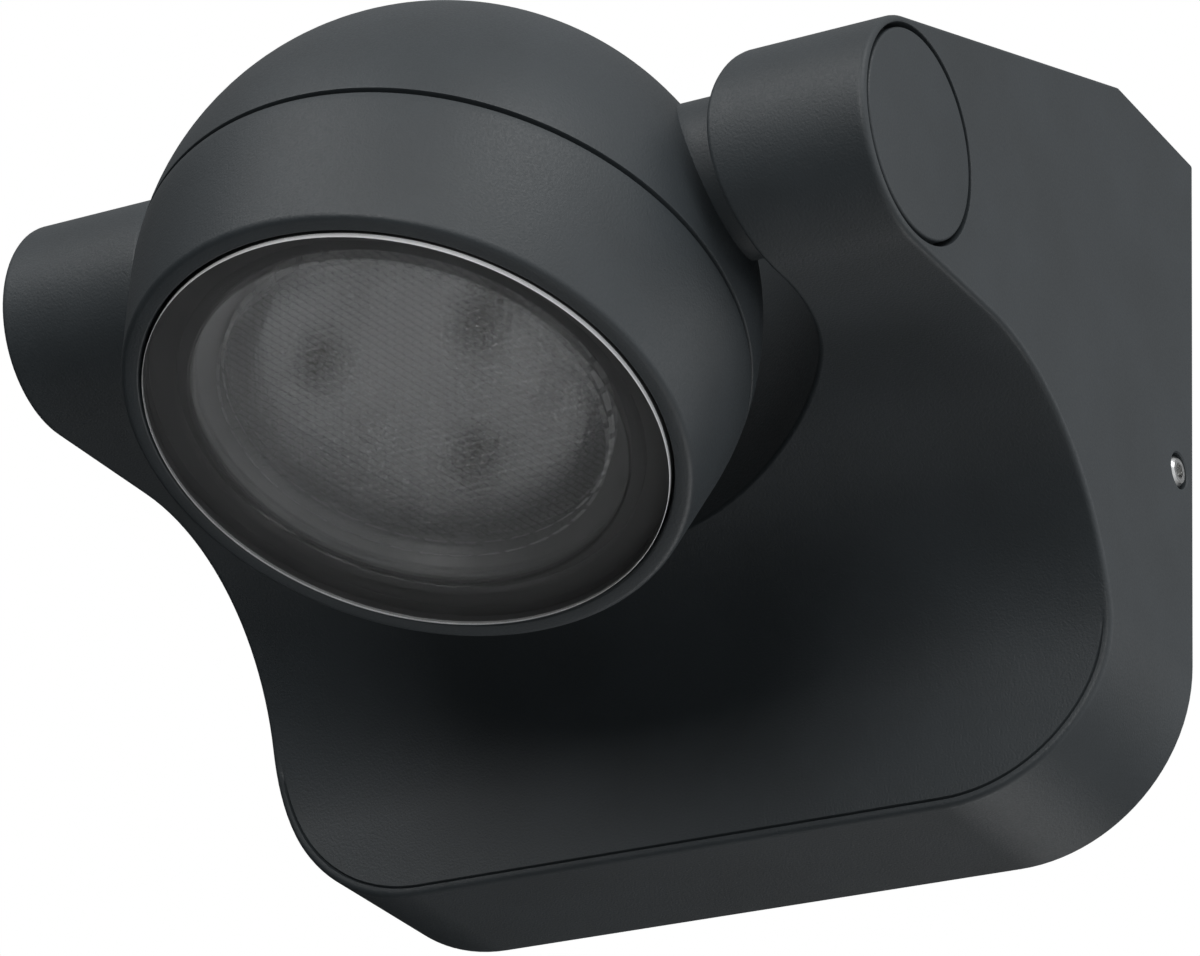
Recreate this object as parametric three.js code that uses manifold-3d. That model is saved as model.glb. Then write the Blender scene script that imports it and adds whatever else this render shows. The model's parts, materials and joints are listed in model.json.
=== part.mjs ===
// A ball-head LED wall spotlight: a cast yoke on a wall base carries a spherical lamp head that tilts
// about a horizontal axis. Millimetres, +Z up, the wall is the plane Y = 0 and the light faces -Y.
// The origin is the middle of the wall face.
import * as THREE from 'three';
import { mergeVertices } from 'three/addons/utils/BufferGeometryUtils.js';
import Module from 'manifold-3d';

const wasm = await Module();
wasm.setup();

// ---------------------------------------------------------------- driving dimensions
const WIDTH = 154;
const HEIGHT = 120;
const BASE_DEPTH = 28.4;
const CORNER_RADIUS = 29.5;
const PIVOT_REACH = 96.5; // wall to tilt axis
const PIVOT_HEIGHT = 16.5; // tilt axis above the middle of the base
const BOSS_RADIUS = 18;
const ARM_FILLET = 43.7; // concave sweep from the underside of the arms into the base front
const POCKET_RADIUS = 53.5; // upright round clearance that the head hangs in
const WALL = 3;
const RIM_GAP = 0.4; // the cast rim stops just short of the wall

const BALL_RADIUS = 48;
const BALL_OFFSET = 17.6; // tilt axis to ball centre
const SHELL_THICKNESS = 3;
const REST_TILT = 69.5; // degrees that the lens looks below the horizontal
const COLLAR_RADIUS = 12.7;
const CAP_RADIUS = 16.1;
const CAP_SEAT_RADIUS = 16.8;
const LENS_PLANE = 25.9; // in front of the ball centre, as are the levels below
const TAPER_START = 10; // the front ring leaves the ball's surface here and runs straight forward
const RING_FRONT_RADIUS = 43.7;
const RING_CHAMFER = 0.9;
const SEAM_FRONT = 3.1;
const SEAM_REAR = 2.3;
const LENS_RADIUS = 40.3;
const WINDOW_RADIUS = 33.6;
const CUP_FLOOR = 8.1;
const CUP_FLOOR_RADIUS = 25.5;
const PLATE_RADIUS = 30.2; // prismatic plate that rests in the cup
const PLATE_REAR = 15.8;
const PLATE_FRONT = 16.9;
const LED_RING = 16.3;
const BOARD_SCREW_RING = 19;
const POST_RING = 28;

const TUBE_RADIUS = 6;
const TUBE_BORE = 3.2;
const LEAD_RADIUS = 1.3;
const LEAD_X = 70.8; // where the lead runs beside the tilt axis
const SIDE_SCREW_Y = -5.3;
const SIDE_SCREW_Z = 1.6;

const GAP = 0.3; // between pieces that touch
const BALL_SIDES = 40; // facets round the ball

// Positions along +X of the parts stacked on each half of the tilt axis.
const STACK = {
  flangeIn: 33.2,
  shellFace: 36,
  collarEnd: 55.5,
  recessFloor: 58,
  webEnd: 63.2,
  washer: 63.8,
  nut: 65.1,
  nutEnd: 68.1,
  tubeEnd: 68.6,
  capSeat: 73.2,
};

// Heights along the lamp axis of the parts stacked behind the lens.
const LEVEL = {
  spreaderRear: 1.7,
  spreaderFront: 4.7,
  boardRear: 5,
  boardFront: 6.6,
  cupUnder: 6.9,
  flangeUnder: 19.4,
  flangeTop: 20.4,
  shelfUnder: 18.4,
  shelfTop: 20.4,
  gasketRear: 20.7,
  gasketFront: 21.7,
  lensRear: 22,
};

// ---------------------------------------------------------------- materials
const material = (color, roughness, metalness) =>
  new THREE.MeshStandardMaterial({ color, roughness, metalness });

const makeMaterial = {
  coat: () => material(0x2f3438, 0.55, 0.2),
  cap: () => material(0x303539, 0.5, 0.2),
  rubber: () => material(0x111213, 0.85, 0),
  steel: () => material(0xb9bcbe, 0.3, 1),
  zinc: () => material(0x9a9c9d, 0.4, 1),
  brass: () => material(0xb08d4a, 0.35, 1),
  nylon: () => material(0xd9d6cb, 0.6, 0),
  blackPlastic: () => material(0x1b1c1e, 0.5, 0),
  driverPlastic: () => material(0xe4e4e0, 0.5, 0),
  reflector: () => material(0xa9abad, 0.3, 0.6),
  board: () => material(0xe9ebea, 0.45, 0),
  led: () => material(0xe6c84b, 0.35, 0),
  aluminium: () => material(0xb4b7b9, 0.4, 1),
  mask: () => material(0x17181a, 0.4, 0),
  lens: () => material(0xd5d9dc, 0.1, 0),
  lead: () => material(0x202124, 0.6, 0),
};

// ---------------------------------------------------------------- solids
// Turns a closed three.js geometry into a solid with its faces outwards.
function solid(geometry) {
  const bare = geometry.clone();
  for (const name of Object.keys(bare.attributes)) {
    if (name !== 'position') bare.deleteAttribute(name);
  }
  const merged = mergeVertices(bare, 1e-4);
  const points = merged.attributes.position.array;
  const index = Array.from(merged.index.array);
  const triangles = [];
  for (let i = 0; i < index.length; i += 3) {
    const [a, b, c] = index.slice(i, i + 3);
    if (a !== b && b !== c && c !== a) triangles.push([a, b, c]);
  }
  const corner = (i) => new THREE.Vector3(points[3 * i], points[3 * i + 1], points[3 * i + 2]);
  let volume = 0;
  for (const [a, b, c] of triangles) volume += corner(a).dot(corner(b).cross(corner(c)));
  const facing = volume < 0 ? triangles.map(([a, b, c]) => [a, c, b]) : triangles;
  const mesh = new wasm.Mesh({
    numProp: 3,
    vertProperties: new Float32Array(points),
    triVerts: new Uint32Array(facing.flat()),
  });
  return new wasm.Manifold(mesh);
}

function geometryOf(manifold) {
  const mesh = manifold.getMesh();
  const geometry = new THREE.BufferGeometry();
  geometry.setAttribute('position', new THREE.BufferAttribute(new Float32Array(mesh.vertProperties), 3));
  geometry.setIndex(new THREE.BufferAttribute(new Uint32Array(mesh.triVerts), 1));
  geometry.computeVertexNormals();
  return geometry;
}

const join = (...solids) => solids.reduce((sum, next) => sum.add(next));
const cut = (body, ...tools) => tools.reduce((rest, tool) => rest.subtract(tool), body);

// A closed profile of [radius, y] points turned about the Y axis.
function turned(profile, segments) {
  const points = [...profile, profile[0]].map(([r, y]) => new THREE.Vector2(r, y));
  return solid(new THREE.LatheGeometry(points, segments));
}

// The same profile turned about the X axis, with x in place of y.
function turnedOnX(profile, segments) {
  const points = [...profile, profile[0]].map(([r, x]) => new THREE.Vector2(r, x));
  return solid(new THREE.LatheGeometry(points, segments).rotateZ(-Math.PI / 2));
}

function rodX(radius, x0, x1, y, z, segments) {
  const geometry = new THREE.CylinderGeometry(radius, radius, Math.abs(x1 - x0), segments);
  return solid(geometry.rotateZ(Math.PI / 2).translate((x0 + x1) / 2, y, z));
}

function rodY(radius, y0, y1, x, z, segments) {
  const geometry = new THREE.CylinderGeometry(radius, radius, Math.abs(y1 - y0), segments);
  return solid(geometry.translate(x, (y0 + y1) / 2, z));
}

function rodZ(radius, z0, z1, x, y, segments) {
  const geometry = new THREE.CylinderGeometry(radius, radius, Math.abs(z1 - z0), segments);
  return solid(geometry.rotateX(Math.PI / 2).translate(x, y, (z0 + z1) / 2));
}

function block(x0, x1, y0, y1, z0, z1) {
  const geometry = new THREE.BoxGeometry(x1 - x0, y1 - y0, z1 - z0);
  return solid(geometry.translate((x0 + x1) / 2, (y0 + y1) / 2, (z0 + z1) / 2));
}

// A flat outline in X and Z, extruded from y0 to y1.
function slabY(shape, y0, y1, curveSegments) {
  const geometry = new THREE.ExtrudeGeometry(shape, { depth: y1 - y0, bevelEnabled: false, curveSegments });
  return solid(geometry.rotateX(Math.PI / 2).translate(0, y1, 0));
}

// A flat outline in Y and Z, extruded from x0 to x1.
function slabX(shape, x0, x1, curveSegments) {
  const geometry = new THREE.ExtrudeGeometry(shape, { depth: x1 - x0, bevelEnabled: false, curveSegments });
  const toYZ = new THREE.Matrix4().set(0, 0, 1, x0, 1, 0, 0, 0, 0, 1, 0, 0, 0, 0, 0, 1);
  return solid(geometry.applyMatrix4(toYZ));
}

// A round lead of eight sides along a smooth curve through the points.
function leadAlong(points, steps) {
  const curve = new THREE.CatmullRomCurve3(points.map((p) => new THREE.Vector3(...p)));
  const section = new THREE.Shape();
  section.absarc(0, 0, LEAD_RADIUS, 0, 2 * Math.PI);
  const options = { steps, extrudePath: curve, curveSegments: 4, bevelEnabled: false };
  return solid(new THREE.ExtrudeGeometry(section, options));
}

// ---------------------------------------------------------------- outlines
// Front outline of the base, shrunk by `inset`: square at the top, round at the bottom corners.
function frontOutline(inset) {
  const x = WIDTH / 2 - inset;
  const z = HEIGHT / 2 - inset;
  const r = CORNER_RADIUS - inset;
  const shape = new THREE.Shape();
  shape.moveTo(x, z);
  shape.lineTo(-x, z);
  shape.lineTo(-x, -z + r);
  shape.absarc(-x + r, -z + r, r, Math.PI, 1.5 * Math.PI, false);
  shape.lineTo(x - r, -z);
  shape.absarc(x - r, -z + r, r, 1.5 * Math.PI, 2 * Math.PI, false);
  shape.closePath();
  return shape;
}

// Angle of the point where the sloping top of the arms leaves the boss circle.
function topTangent() {
  const dy = -BASE_DEPTH + PIVOT_REACH;
  const dz = HEIGHT / 2 - PIVOT_HEIGHT;
  const distance = Math.hypot(dy, dz);
  return Math.atan2(dz, dy) + Math.acos(BOSS_RADIUS / distance);
}

// Side outline of the yoke: boss, sloping top, base, and the concave sweep under the arms.
function sideOutline() {
  const bottom = PIVOT_HEIGHT - BOSS_RADIUS;
  const shape = new THREE.Shape();
  shape.moveTo(-RIM_GAP, -HEIGHT / 2);
  shape.lineTo(-RIM_GAP, HEIGHT / 2);
  shape.lineTo(-BASE_DEPTH, HEIGHT / 2);
  shape.absarc(-PIVOT_REACH, PIVOT_HEIGHT, BOSS_RADIUS, topTangent(), 1.5 * Math.PI, false);
  shape.absarc(-BASE_DEPTH - ARM_FILLET, bottom - ARM_FILLET, ARM_FILLET, 0.5 * Math.PI, 0, true);
  shape.lineTo(-BASE_DEPTH, -HEIGHT / 2);
  shape.closePath();
  return shape;
}

// Side outline of the hollow inside the yoke, one wall thickness in, which stops short of the boss.
function hollowOutline() {
  const tangent = topTangent();
  const slope = -1 / Math.tan(tangent);
  const arm = -PIVOT_REACH + BOSS_RADIUS + 2;
  const onTop = (y) => HEIGHT / 2 + (y + BASE_DEPTH) * slope - WALL / Math.sin(tangent);
  const bottom = PIVOT_HEIGHT - BOSS_RADIUS;
  const radius = ARM_FILLET + WALL;
  const shape = new THREE.Shape();
  shape.moveTo(1, -HEIGHT / 2 + WALL);
  shape.lineTo(1, HEIGHT / 2 - WALL);
  shape.lineTo(-BASE_DEPTH, HEIGHT / 2 - WALL);
  shape.lineTo(-BASE_DEPTH, onTop(-BASE_DEPTH));
  shape.lineTo(arm, onTop(arm));
  shape.lineTo(arm, bottom + WALL);
  shape.absarc(-BASE_DEPTH - ARM_FILLET, bottom - ARM_FILLET, radius, 0.5 * Math.PI, 0, true);
  shape.lineTo(-BASE_DEPTH + WALL, -HEIGHT / 2 + WALL);
  shape.closePath();
  return shape;
}

// ---------------------------------------------------------------- yoke and wall base
const DRIVER = { halfX: 36, z0: -53, z1: -25, y0: -23.4, y1: -7, earX: 43, earZ: -39 };

function yokeHousing() {
  const half = WIDTH / 2;
  const outside = slabX(sideOutline(), -half, half, 13).intersect(
    slabY(frontOutline(0), -2 * PIVOT_REACH, 0, 9),
  );
  const pocket = rodZ(POCKET_RADIUS, -HEIGHT, HEIGHT, 0, -PIVOT_REACH, 52);
  const pocketWall = rodZ(POCKET_RADIUS + WALL, -HEIGHT, HEIGHT, 0, -PIVOT_REACH, 36);
  const hollow = slabX(hollowOutline(), -half + WALL, half - WALL, 8)
    .intersect(slabY(frontOutline(WALL), -2 * PIVOT_REACH, 2, 6))
    .subtract(pocketWall);
  const rebate = slabY(frontOutline(1.5), -3, 1, 6);
  let body = cut(outside, pocket, hollow, rebate);
  for (const side of [-1, 1]) {
    const along = (radius, x0, x1, segments) =>
      rodX(radius, side * x0, side * x1, -PIVOT_REACH, PIVOT_HEIGHT, segments);
    body = cut(
      body,
      along(COLLAR_RADIUS + 0.6, 40, STACK.recessFloor, 32),
      along(9.3, 50, 70, 24),
      along(14.5, STACK.webEnd, 75, 24),
      along(CAP_SEAT_RADIUS, STACK.capSeat, 80, 32),
      rodY(2.2, -PIVOT_REACH + 5, -PIVOT_REACH + BOSS_RADIUS + 5, side * LEAD_X, PIVOT_HEIGHT, 12),
      rodX(1.9, side * 70, side * 80, SIDE_SCREW_Y, SIDE_SCREW_Z, 12),
      rodX(3, side * (half - 1.7), side * 80, SIDE_SCREW_Y, SIDE_SCREW_Z, 16),
    );
    const post = rodY(4, -BASE_DEPTH + WALL - 1, -19.5, side * DRIVER.earX, DRIVER.earZ, 14);
    const tapped = rodY(1.5, -BASE_DEPTH + WALL, 0, side * DRIVER.earX, DRIVER.earZ, 10);
    body = join(body, post).subtract(tapped);
  }
  return body;
}

function wallPlate() {
  const edge = WALL + 0.8;
  let plate = slabY(frontOutline(edge), -2.5, 0, 6);
  for (const side of [-1, 1]) {
    const outer = WIDTH / 2 - edge;
    const tab = block(0, 2.5, -10.5, -0.5, SIDE_SCREW_Z - 7, SIDE_SCREW_Z + 7)
      .translate([side > 0 ? outer - 2.5 : -outer, 0, 0]);
    plate = join(plate, tab);
    plate = cut(
      plate,
      rodX(1.9, side * 60, side * 76, SIDE_SCREW_Y, SIDE_SCREW_Z, 12),
      rodY(4.6, -4, 2, side * 52, -6, 20),
      block(side * 52 - 2.4, side * 52 + 2.4, -4, 2, -6, 6),
    );
  }
  return cut(plate, rodY(7.3, -4, 2, 0, 38, 24), rodY(1.9, -4, 2, 34, 38, 12));
}

function wallGasket() {
  const outer = slabY(frontOutline(1.8), -2.7, 0, 6);
  return outer.subtract(slabY(frontOutline(WALL), -4, 1, 6));
}

function cableGrommet() {
  const profile = [
    [3.2, -5.5], [6, -5.5], [9, -3.6], [9, -2.8], [7, -2.8], [7, -0.2], [3.2, -0.2],
  ];
  return turned(profile, 16).translate([0, 0, 38]);
}

const TERMINAL = { x: 0, halfX: 16, y0: -17.8, y1: -2.8, z0: 7, z1: 21, pitch: 10 };

function terminalBlock() {
  const t = TERMINAL;
  let body = block(t.x - t.halfX, t.x + t.halfX, t.y0, t.y1, t.z0, t.z1);
  for (const i of [-1, 0, 1]) {
    const x = t.x + i * t.pitch;
    body = cut(
      body,
      rodY(2.6, t.y0 - 1, t.y0 + 7, x, 14, 14),
      rodZ(1.9, t.z0 - 1, t.z1 + 1, x, t.y0 + 10, 10),
    );
  }
  return body;
}

// A screw along +Y with its head at the front end, at y0; drive is the number of sides of the recess.
function screwOnY(x, z, y0, headRadius, headHeight, shankRadius, length, drive) {
  const head = rodY(headRadius, y0, y0 + headHeight, x, z, 12);
  const shank = rodY(shankRadius, y0 + headHeight - 0.1, y0 + length, x, z, 8);
  const recess = rodY(headRadius * 0.5, y0 - 1, y0 + headHeight * 0.6, x, z, drive);
  return join(head, shank).subtract(recess);
}

function terminalScrew(index) {
  return screwOnY(TERMINAL.x + index * TERMINAL.pitch, 14, TERMINAL.y0 + 1, 2.2, 1.5, 1.4, 4.5, 4);
}

function earthScrew() {
  return screwOnY(34, 38, -5.3, 3.4, 2.3, 1.5, 5, 4);
}

function driverCase() {
  const d = DRIVER;
  const body = block(-d.halfX, d.halfX, d.y0, d.y1, d.z0, d.z1);
  const ears = block(-d.earX - 4, d.earX + 4, -19, -16.6, d.earZ - 5, d.earZ + 5);
  const holes = [-1, 1].map((side) => rodY(1.9, -22, -14, side * d.earX, d.earZ, 12));
  return cut(join(body, ears), ...holes);
}

// The driver's screws enter from the wall side, heads towards +Y.
function driverScrew(side) {
  const x = side * DRIVER.earX;
  const head = rodY(3, -16.3, -14.3, x, DRIVER.earZ, 16);
  const shank = rodY(1.2, -24, -16.2, x, DRIVER.earZ, 10);
  const recess = rodY(1.5, -15.4, -13, x, DRIVER.earZ, 4);
  return join(head, shank).subtract(recess);
}

// A button screw with a six-sided socket, flush in its counterbore in the side of the yoke.
function sideScrew(side) {
  const half = WIDTH / 2;
  const head = rodX(2.65, side * (half - 1.4), side * half, SIDE_SCREW_Y, SIDE_SCREW_Z, 20);
  const shank = rodX(1.5, side * (half - 9), side * (half - 1.3), SIDE_SCREW_Y, SIDE_SCREW_Z, 10);
  const socket = rodX(1.35, side * (half - 0.9), side * (half + 1), SIDE_SCREW_Y, SIDE_SCREW_Z, 6);
  return join(head, shank).subtract(socket);
}

// ---------------------------------------------------------------- tilt axis
// Puts a solid modelled about the X axis on one end of the tilt axis: side 1 is the +X end.
function onAxis(body, side) {
  const facing = side > 0 ? body : body.rotate([0, 0, 180]);
  return facing.translate([0, -PIVOT_REACH, PIVOT_HEIGHT]);
}

function endCap() {
  const half = WIDTH / 2;
  const profile = [
    [0, half], [CAP_RADIUS - 0.5, half], [CAP_RADIUS, half - 0.5], [CAP_RADIUS, STACK.capSeat + GAP],
    [14.1, STACK.capSeat + GAP], [14.1, 72.6], [12.4, 72.6], [12.4, 74.4], [0, 74.4],
  ];
  return turnedOnX(profile, 28);
}

function pivotBush() {
  const bore = TUBE_RADIUS + GAP;
  const flange = STACK.recessFloor - GAP;
  const profile = [
    [bore, 56.1], [11.5, 56.1], [11.5, flange], [9, flange], [9, STACK.webEnd + 0.3], [bore, STACK.webEnd + 0.3],
  ];
  return turnedOnX(profile, 24);
}

function springWasher() {
  const profile = [
    [6.5, STACK.washer], [9.6, STACK.washer], [9.6, STACK.washer + 1], [6.5, STACK.washer + 1],
  ];
  return turnedOnX(profile, 20);
}

function pivotNut() {
  const hex = rodX(10.4, STACK.nut, STACK.nutEnd, 0, 0, 6);
  return hex.subtract(rodX(TUBE_RADIUS + GAP, 60, 72, 0, 0, 20));
}

function pivotTube() {
  const flange = STACK.shellFace - GAP;
  const profile = [
    [TUBE_BORE, STACK.flangeIn], [9.5, STACK.flangeIn], [9.5, flange], [TUBE_RADIUS, flange],
    [TUBE_RADIUS, STACK.tubeEnd], [TUBE_BORE, STACK.tubeEnd],
  ];
  return turnedOnX(profile, 20);
}

function pivotSeal() {
  const points = [];
  for (let i = 0; i < 6; i += 1) {
    const angle = (i * Math.PI) / 3;
    points.push([9 + 0.9 * Math.cos(angle), 54.9 + 0.9 * Math.sin(angle)]);
  }
  return turnedOnX(points, 20);
}

// ---------------------------------------------------------------- lamp head
// The head is modelled with its lens looking along -Y and the tilt axis at the origin. A level is a
// distance in front of the ball centre.
const atLevel = (level) => -(BALL_OFFSET + level);

// Points [radius, y] of an arc of the ball, from one level to another.
function ballArc(radius, from, to, steps) {
  const start = Math.asin(from / radius);
  const end = Math.asin(to / radius);
  const points = [];
  for (let i = 0; i <= steps; i += 1) {
    const angle = start + ((end - start) * i) / steps;
    points.push([radius * Math.cos(angle), atLevel(radius * Math.sin(angle))]);
  }
  return points;
}

const levels = (pairs) => pairs.map(([r, level]) => [r, atLevel(level)]);

// X and Z of a point on a ring round the lamp axis.
function onRing(radius, degrees) {
  const angle = THREE.MathUtils.degToRad(degrees);
  return [radius * Math.cos(angle), -radius * Math.sin(angle)];
}

const LED_ANGLES = [90, 210, 330];
const SCREW_ANGLES = [30, 150, 270];

function rearShell() {
  const inner = BALL_RADIUS - SHELL_THICKNESS;
  const seat = 1;
  const profile = [
    [0, atLevel(-BALL_RADIUS)],
    ...ballArc(BALL_RADIUS, -BALL_RADIUS, SEAM_REAR, 12).slice(1),
    [46.6, atLevel(SEAM_REAR)],
    [46.6, atLevel(seat)],
    ...ballArc(inner, seat, -inner, 9).slice(0, -1),
    [0, atLevel(-inner)],
  ];
  let shell = turned(profile, BALL_SIDES);
  for (const side of [-1, 1]) {
    const collar = rodX(COLLAR_RADIUS, side * STACK.shellFace, side * STACK.collarEnd, 0, 0, 32);
    const bore = rodX(TUBE_RADIUS + GAP, side * 30, side * 60, 0, 0, 20);
    const sealSeat = rodX(10.3, side * 53.7, side * 60, 0, 0, 24)
      .subtract(rodX(7.7, side * 50, side * 62, 0, 0, 24));
    shell = cut(join(shell, collar), bore, sealSeat);
  }
  for (const angle of SCREW_ANGLES) {
    const [x, z] = onRing(POST_RING, angle);
    const post = rodY(3.6, atLevel(LEVEL.spreaderRear - GAP), atLevel(-36), x, z, 12);
    const tapped = rodY(1.5, atLevel(LEVEL.spreaderRear), atLevel(-6), x, z, 10);
    shell = join(shell, post).subtract(tapped);
  }
  return shell;
}

function frontRing() {
  const inner = BALL_RADIUS - SHELL_THICKNESS;
  const lip = LENS_RADIUS + GAP;
  const profile = [
    ...ballArc(BALL_RADIUS, SEAM_FRONT, TAPER_START, 2),
    ...levels([
      [RING_FRONT_RADIUS, LENS_PLANE - RING_CHAMFER], [RING_FRONT_RADIUS - RING_CHAMFER, LENS_PLANE],
      [lip, LENS_PLANE], [lip, LEVEL.shelfTop], [37.2, LEVEL.shelfTop], [37.2, LEVEL.shelfUnder],
    ]),
    ...ballArc(inner, LEVEL.shelfUnder, SEAM_FRONT, 3),
  ];
  return turned(profile, BALL_SIDES);
}

function seamGasket() {
  return turned(levels([[45.3, 1.3], [46.3, 1.3], [46.3, 2.8], [45.3, 2.8]]), 36);
}

function lensGasket() {
  const { gasketRear, gasketFront } = LEVEL;
  return turned(levels([[37.5, gasketRear], [40.1, gasketRear], [40.1, gasketFront], [37.5, gasketFront]]), 36);
}

function prismPlate() {
  return turned(levels([[0, PLATE_REAR], [PLATE_RADIUS, PLATE_REAR], [PLATE_RADIUS, PLATE_FRONT], [0, PLATE_FRONT]]), BALL_SIDES);
}

function borderMask() {
  const { gasketRear, gasketFront } = LEVEL;
  const r = WINDOW_RADIUS;
  return turned(levels([[r, gasketRear], [37.1, gasketRear], [37.1, gasketFront], [r, gasketFront]]), 36);
}

function lens() {
  const r = LENS_RADIUS;
  return turned(levels([[0, LEVEL.lensRear], [r, LEVEL.lensRear], [r, LENS_PLANE - 0.6], [r - 0.6, LENS_PLANE], [0, LENS_PLANE]]), BALL_SIDES);
}

function reflectorCup() {
  const wall = 1.2;
  const profile = levels([
    [0, CUP_FLOOR], [CUP_FLOOR_RADIUS, CUP_FLOOR], [WINDOW_RADIUS, LEVEL.flangeTop],
    [36.8, LEVEL.flangeTop], [36.8, LEVEL.flangeUnder], [WINDOW_RADIUS + wall, LEVEL.flangeUnder],
    [CUP_FLOOR_RADIUS + wall, LEVEL.cupUnder], [0, LEVEL.cupUnder],
  ]);
  const holes = [];
  for (const angle of LED_ANGLES) {
    const [x, z] = onRing(LED_RING, angle);
    holes.push(rodY(4.6, atLevel(12), atLevel(4), x, z, 12));
  }
  for (const angle of SCREW_ANGLES) {
    const [x, z] = onRing(BOARD_SCREW_RING, angle);
    holes.push(rodY(1.8, atLevel(12), atLevel(4), x, z, 8));
  }
  return cut(turned(profile, 36), ...holes);
}

function ledBoard() {
  const board = rodY(25, atLevel(LEVEL.boardFront), atLevel(LEVEL.boardRear), 0, 0, 32);
  const holes = SCREW_ANGLES.map((angle) => {
    const [x, z] = onRing(BOARD_SCREW_RING, angle);
    return rodY(1.8, atLevel(12), atLevel(0), x, z, 10);
  });
  return cut(board, ...holes);
}

function led(angle) {
  const [x, z] = onRing(LED_RING, angle);
  const base = block(x - 2.5, x + 2.5, atLevel(7.9), atLevel(6.9), z - 2.5, z + 2.5);
  const dome = solid(new THREE.SphereGeometry(2.1, 12, 6).rotateX(Math.PI / 2).translate(x, atLevel(7.6), z));
  return base.add(dome.intersect(block(x - 3, x + 3, atLevel(11), atLevel(7.5), z - 3, z + 3)));
}

function heatSpreader() {
  const disc = rodY(32.5, atLevel(LEVEL.spreaderFront), atLevel(LEVEL.spreaderRear), 0, 0, 32);
  const holes = [rodY(2.2, atLevel(12), atLevel(0), -8, 0, 12)];
  for (const angle of SCREW_ANGLES) {
    const [bx, bz] = onRing(BOARD_SCREW_RING, angle);
    const [px, pz] = onRing(POST_RING, angle);
    holes.push(rodY(1.5, atLevel(12), atLevel(0), bx, bz, 8));
    holes.push(rodY(1.8, atLevel(12), atLevel(0), px, pz, 8));
  }
  return cut(disc, ...holes);
}

function boardScrew(angle) {
  const [x, z] = onRing(BOARD_SCREW_RING, angle);
  return screwOnY(x, z, atLevel(10.1), 2.6, 1.7, 1.2, 7.6, 4);
}

function spreaderScrew(angle) {
  const [x, z] = onRing(POST_RING, angle);
  return screwOnY(x, z, atLevel(6.5), 2.4, 1.5, 1.2, 8.2, 4);
}

function headGrommet() {
  const profile = [[1.7, 29.6], [5.2, 29.6], [6.2, 32.9], [1.7, 32.9]];
  return turnedOnX(profile, 16).rotate([0, 0, 180]);
}

// ---------------------------------------------------------------- internal leads
const MAINS_LEAD = [
  [-10, -11, 6.7], [-10, -11, 0], [-16, -12, -8], [-22, -14, -17], [-22, -14, -24.7],
];
const DRIVER_LEAD = [
  [-30, -15, -24.7], [-30, -15, -18], [-38, -17, -8], [-52, -23, 3], [-63, -36, 11], [-69, -54, 15.5],
  [-LEAD_X, -70, PIVOT_HEIGHT], [-LEAD_X, -80, PIVOT_HEIGHT], [-LEAD_X, -88, PIVOT_HEIGHT],
  [-LEAD_X, -PIVOT_REACH, PIVOT_HEIGHT],
];
const HEAD_LEAD = [
  [-68.2, 0, 0], [-55, 0, 0], [-42, 0, 0], [-31, 0, 0], [-22, -2, 0], [-13, -7.5, 0], [-8.8, -14, 0],
  [-8, -19, 0], [-8, atLevel(LEVEL.spreaderFront), 0],
];

// ---------------------------------------------------------------- assembly
const light = new THREE.Group();
const head = new THREE.Group();
head.position.set(0, -PIVOT_REACH, PIVOT_HEIGHT);
head.rotation.x = THREE.MathUtils.degToRad(REST_TILT);
light.add(head);

function place(group, name, body, finish) {
  const mesh = new THREE.Mesh(geometryOf(body), makeMaterial[finish]());
  mesh.name = name;
  group.add(mesh);
}

place(light, 'yoke_housing', yokeHousing(), 'coat');
place(light, 'wall_plate', wallPlate(), 'zinc');
place(light, 'wall_gasket', wallGasket(), 'rubber');
place(light, 'cable_grommet', cableGrommet(), 'rubber');
place(light, 'terminal_block', terminalBlock(), 'nylon');
for (const i of [-1, 0, 1]) place(light, `terminal_screw_${i + 2}`, terminalScrew(i), 'brass');
place(light, 'earth_screw', earthScrew(), 'brass');
place(light, 'driver_case', driverCase(), 'driverPlastic');
place(light, 'mains_lead', leadAlong(MAINS_LEAD, 14), 'lead');
place(light, 'driver_lead', leadAlong(DRIVER_LEAD, 28), 'lead');

for (const [name, side] of [['left', -1], ['right', 1]]) {
  place(light, `driver_screw_${name}`, driverScrew(side), 'steel');
  place(light, `side_screw_${name}`, sideScrew(side), 'steel');
  place(light, `end_cap_${name}`, onAxis(endCap(), side), 'cap');
  place(light, `pivot_bush_${name}`, onAxis(pivotBush(), side), 'nylon');
  place(light, `spring_washer_${name}`, onAxis(springWasher(), side), 'steel');
  const turn = [0, 0, side > 0 ? 0 : 180];
  place(head, `pivot_tube_${name}`, pivotTube().rotate(turn), 'brass');
  place(head, `pivot_nut_${name}`, pivotNut().rotate(turn), 'brass');
  place(head, `pivot_seal_${name}`, pivotSeal().rotate(turn), 'rubber');
}

place(head, 'rear_shell', rearShell(), 'coat');
place(head, 'front_ring', frontRing(), 'coat');
place(head, 'seam_gasket', seamGasket(), 'rubber');
place(head, 'lens', lens(), 'lens');
place(head, 'prism_plate', prismPlate(), 'lens');
place(head, 'lens_gasket', lensGasket(), 'rubber');
place(head, 'border_mask', borderMask(), 'mask');
place(head, 'reflector_cup', reflectorCup(), 'reflector');
place(head, 'led_board', ledBoard(), 'board');
place(head, 'heat_spreader', heatSpreader(), 'aluminium');
place(head, 'head_grommet', headGrommet(), 'rubber');
place(head, 'head_lead', leadAlong(HEAD_LEAD, 22), 'lead');
LED_ANGLES.forEach((angle, i) => place(head, `led_${i + 1}`, led(angle), 'led'));
SCREW_ANGLES.forEach((angle, i) => {
  place(head, `board_screw_${i + 1}`, boardScrew(angle), 'steel');
  place(head, `spreader_screw_${i + 1}`, spreaderScrew(angle), 'steel');
});

export default light;
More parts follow.
